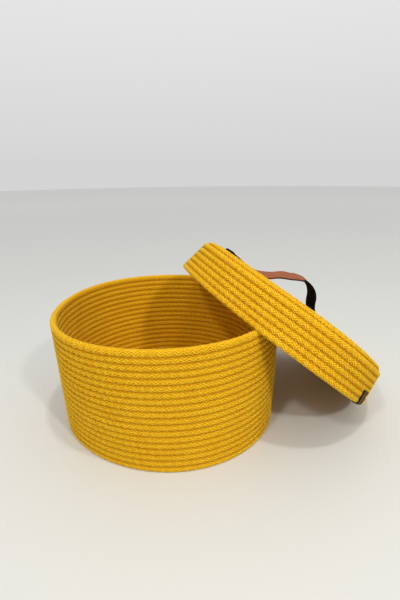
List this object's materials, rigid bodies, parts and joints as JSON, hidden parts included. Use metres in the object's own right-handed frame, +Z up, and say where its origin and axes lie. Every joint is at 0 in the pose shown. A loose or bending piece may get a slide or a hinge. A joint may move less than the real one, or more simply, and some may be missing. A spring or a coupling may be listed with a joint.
{
  "type": "knitting basket",
  "caption": "Round knitting basket of coiled and sewn yellow cotton rope, its over-cap lid with a webbing strap and leather grip leaning on the rim.",
  "frame": {"origin": "centre of the basket's underside, on the surface it stands on", "axes": "+Z up along the basket's axis, +X the way the lid leans down"},
  "size_m": [0.4184, 0.2936, 0.2122],
  "materials": {
    "rope": "braided cotton rope, dyed mustard yellow, coiled and sewn in rows",
    "webbing": "black woven webbing, matt",
    "leather": "tan brown leather, smooth, cut edges darker",
    "thread": "dark sewing thread",
    "label": "dark brown woven label, blank"
  },
  "bodies": {
    "basket": {"basket_wall": "rope", "basket_base": "rope"},
    "lid": {"lid_wall": "rope", "lid_top": "rope", "label": "label", "strap_tab_upper": "webbing", "strap_tab_lower": "webbing", "tab_stitching_upper": "thread", "tab_stitching_lower": "thread", "strap_upper": "webbing", "strap_lower": "webbing"},
    "handle": {"grip": "leather", "grip_stitching": "thread", "strap_middle": "webbing"}
  },
  "joints": [
    {"name": "lid_lift", "type": "slide", "parent": "basket", "child": "lid", "axis": [0, 0, 1], "range_m": [0, 0.2]},
    {"name": "handle_raise", "type": "hinge", "parent": "lid", "child": "handle", "pos_m": [0.20095, 0.018, 0.14959], "axis": [0, 1, 0], "range_deg": [0, 12], "deforming": ["strap_upper"]}
  ]
}
